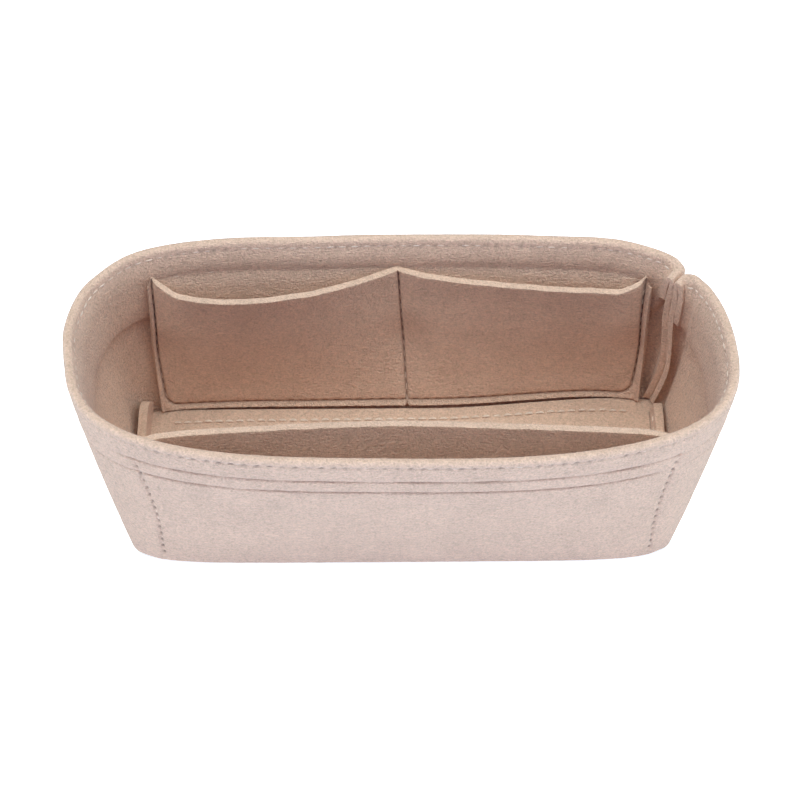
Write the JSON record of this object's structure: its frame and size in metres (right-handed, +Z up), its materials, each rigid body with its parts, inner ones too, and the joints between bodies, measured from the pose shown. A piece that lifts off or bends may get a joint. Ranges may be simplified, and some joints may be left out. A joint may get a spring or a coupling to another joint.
{
  "type": "purse organizer insert",
  "caption": "Open felt insert for a handbag: a flared wall with a stitched folded rim, a flat base, divided pockets along the back and one wide pocket along the front.",
  "frame": {"origin": "on the table, under the middle of the insert's bounding box", "axes": "+X along the length to the right, +Y to the back wall with the divided pockets, +Z up through the mouth"},
  "size_m": [0.2298, 0.1066, 0.0739],
  "materials": {
    "felt": "matt beige needle felt",
    "thread": "soft beige sewing thread"
  },
  "bodies": {
    "root": {"wall_band": "felt", "base_panel": "felt", "back_pocket": "felt", "front_pocket": "felt", "rim_row_needle_thread": "thread", "rim_row_bobbin_thread": "thread", "hem_upper_row_needle_thread": "thread", "hem_upper_row_bobbin_thread": "thread", "hem_lower_row_needle_thread": "thread", "hem_lower_row_bobbin_thread": "thread", "back_pocket_edge_needle_thread": "thread", "back_pocket_edge_bobbin_thread": "thread", "pocket_divider_needle_thread": "thread", "pocket_divider_bobbin_thread": "thread", "front_pocket_left_needle_thread": "thread", "front_pocket_left_bobbin_thread": "thread", "front_pocket_right_needle_thread": "thread", "front_pocket_right_bobbin_thread": "thread", "base_back_row_needle_thread": "thread", "base_back_row_bobbin_thread": "thread", "base_front_row_needle_thread": "thread", "base_front_row_bobbin_thread": "thread", "base_right_end_needle_thread": "thread", "base_right_end_bobbin_thread": "thread", "base_left_end_needle_thread": "thread", "base_left_end_bobbin_thread": "thread", "wall_seam_needle_thread": "thread", "wall_seam_bobbin_thread": "thread"}
  },
  "joints": []
}
